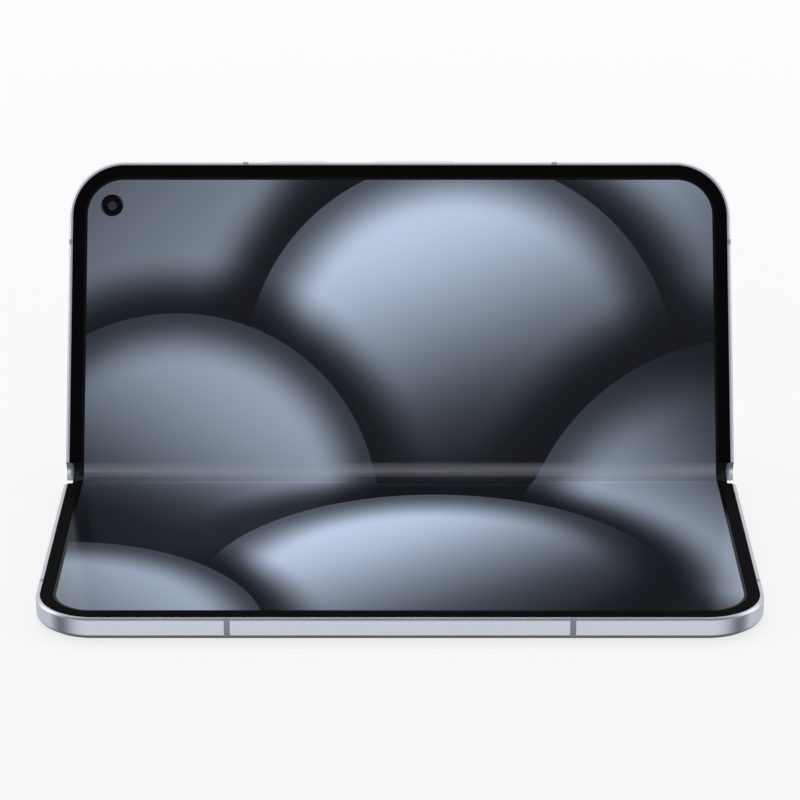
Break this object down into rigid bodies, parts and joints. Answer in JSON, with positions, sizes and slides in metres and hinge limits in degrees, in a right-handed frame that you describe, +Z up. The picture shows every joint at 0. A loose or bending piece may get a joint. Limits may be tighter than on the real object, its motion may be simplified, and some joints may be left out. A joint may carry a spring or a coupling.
{
  "type": "foldable smartphone",
  "caption": "Book-style foldable phone half open like a small laptop, with a flexible inner screen, a geared hinge in a metal spine and a rear camera island.",
  "frame": {"origin": "centre of the lower half's underside, on the surface it rests on", "axes": "+X along the hinge, towards the end with the USB-C port; +Y from the free edge of the lower half towards the hinge; +Z up"},
  "size_m": [0.1552, 0.1162, 0.0698],
  "materials": {
    "frame": "satin anodised, pale blue grey",
    "antenna": "moulded insert, slightly darker than the frame",
    "bezel": "soft black polymer strip",
    "plate": "thin bonded backing plate",
    "screen": "flexible screen under a plastic film, showing a soft round-shape picture",
    "outer_glass": "black cover glass",
    "rear_glass": "matte etched glass, pale blue grey",
    "module": "black module body",
    "cell": "foil pouch cell",
    "board": "green circuit board",
    "shield": "stamped shield can",
    "steel": "machined steel",
    "magnet": "plated magnet bar",
    "pinion": "sintered gear",
    "lens_window": "dark window over the lenses",
    "copper": "wound copper coil",
    "flash": "diffusing flash lens",
    "mesh": "black woven mesh"
  },
  "bodies": {
    "lower_half": {"lower_frame": "frame", "lower_antenna_bands": "antenna", "lower_bezel": "bezel", "lower_backing_plate": "plate", "lower_display": "screen", "cover_glass": "outer_glass", "cover_panel": "module", "cover_camera": "module", "lower_battery": "cell", "lower_board": "board", "lower_shield": "shield", "earpiece_speaker": "module", "sim_socket": "shield", "lower_hinge_arms": "steel", "lower_hinge_screws": "steel", "lower_magnets": "magnet"},
    "spine": {"spine_cover": "frame", "spine_end_caps": "frame", "hinge_blocks": "steel", "hinge_block_screws": "steel", "pinion_shafts": "steel", "display_fold": "screen"},
    "upper_half": {"upper_frame": "frame", "upper_antenna_bands": "antenna", "upper_bezel": "bezel", "upper_backing_plate": "plate", "upper_display": "screen", "rear_glass": "rear_glass", "camera_island": "frame", "camera_windows": "lens_window", "main_camera": "module", "wide_camera": "module", "tele_camera": "module", "camera_flash": "flash", "upper_battery": "cell", "charging_coil": "copper", "main_board": "board", "processor": "module", "board_shields": "shield", "inner_camera": "module", "power_switch": "shield", "volume_switches": "shield", "usb_port": "shield", "usb_board": "board", "bottom_speaker": "module", "speaker_mesh": "mesh", "haptic_motor": "shield", "upper_hinge_arms": "steel", "upper_hinge_screws": "steel", "upper_magnets": "magnet"},
    "lower_outer_pinion": {"lower_outer_pinion": "pinion"},
    "lower_inner_pinion": {"lower_inner_pinion": "pinion"},
    "upper_inner_pinion": {"upper_inner_pinion": "pinion"},
    "upper_outer_pinion": {"upper_outer_pinion": "pinion"},
    "power_button": {"power_button": "frame"},
    "volume_rocker": {"volume_rocker": "frame"},
    "sim_tray": {"sim_tray": "frame"}
  },
  "joints": [
    {"name": "fold_lower", "type": "hinge", "parent": "lower_half", "child": "spine", "pos_m": [0, 0.03648, 0.0042], "axis": [1, 0, 0], "range_deg": [-30, 60]},
    {"name": "fold_upper", "type": "hinge", "parent": "spine", "child": "upper_half", "pos_m": [0, 0.03855, 0.0054], "axis": [1, 0, 0], "range_deg": [-30, 60], "deforming": ["display_fold"]},
    {"name": "lower_outer_pinion_spin", "type": "hinge", "parent": "spine", "child": "lower_outer_pinion", "pos_m": [0, 0.03648, 0.002], "axis": [1, 0, 0], "range_deg": [-66, 130]},
    {"name": "lower_inner_pinion_spin", "type": "hinge", "parent": "spine", "child": "lower_inner_pinion", "pos_m": [0, 0.03777, 0.00275], "axis": [1, 0, 0], "range_deg": [-114, 58]},
    {"name": "upper_inner_pinion_spin", "type": "hinge", "parent": "spine", "child": "upper_inner_pinion", "pos_m": [0, 0.03916, 0.00355], "axis": [1, 0, 0], "range_deg": [-58, 114]},
    {"name": "upper_outer_pinion_spin", "type": "hinge", "parent": "spine", "child": "upper_outer_pinion", "pos_m": [0, 0.04046, 0.0043], "axis": [1, 0, 0], "range_deg": [-130, 66]},
    {"name": "power_press", "type": "slide", "parent": "upper_half", "child": "power_button", "axis": [0, -0.5, -0.866], "range_m": [0, 0.0003], "stiffness_N_per_m": 4000, "springref_m": -0.0001},
    {"name": "volume_tilt", "type": "hinge", "parent": "upper_half", "child": "volume_rocker", "pos_m": [0.0033, 0.07673, 0.06788], "axis": [0, -0.866, 0.5], "range_deg": [-1.6, 1.6], "stiffness_Nm_per_rad": 0.2},
    {"name": "sim_slide", "type": "slide", "parent": "lower_half", "child": "sim_tray", "axis": [1, 0, 0], "range_m": [0, 0.022]}
  ],
  "couplings": [
    {"joint": "fold_upper", "follows": "fold_lower", "ratio": 1},
    {"joint": "lower_outer_pinion_spin", "follows": "fold_lower", "ratio": 2.1429},
    {"joint": "lower_inner_pinion_spin", "follows": "fold_lower", "ratio": -1.875},
    {"joint": "upper_inner_pinion_spin", "follows": "fold_lower", "ratio": 1.875},
    {"joint": "upper_outer_pinion_spin", "follows": "fold_lower", "ratio": -2.1429}
  ]
}
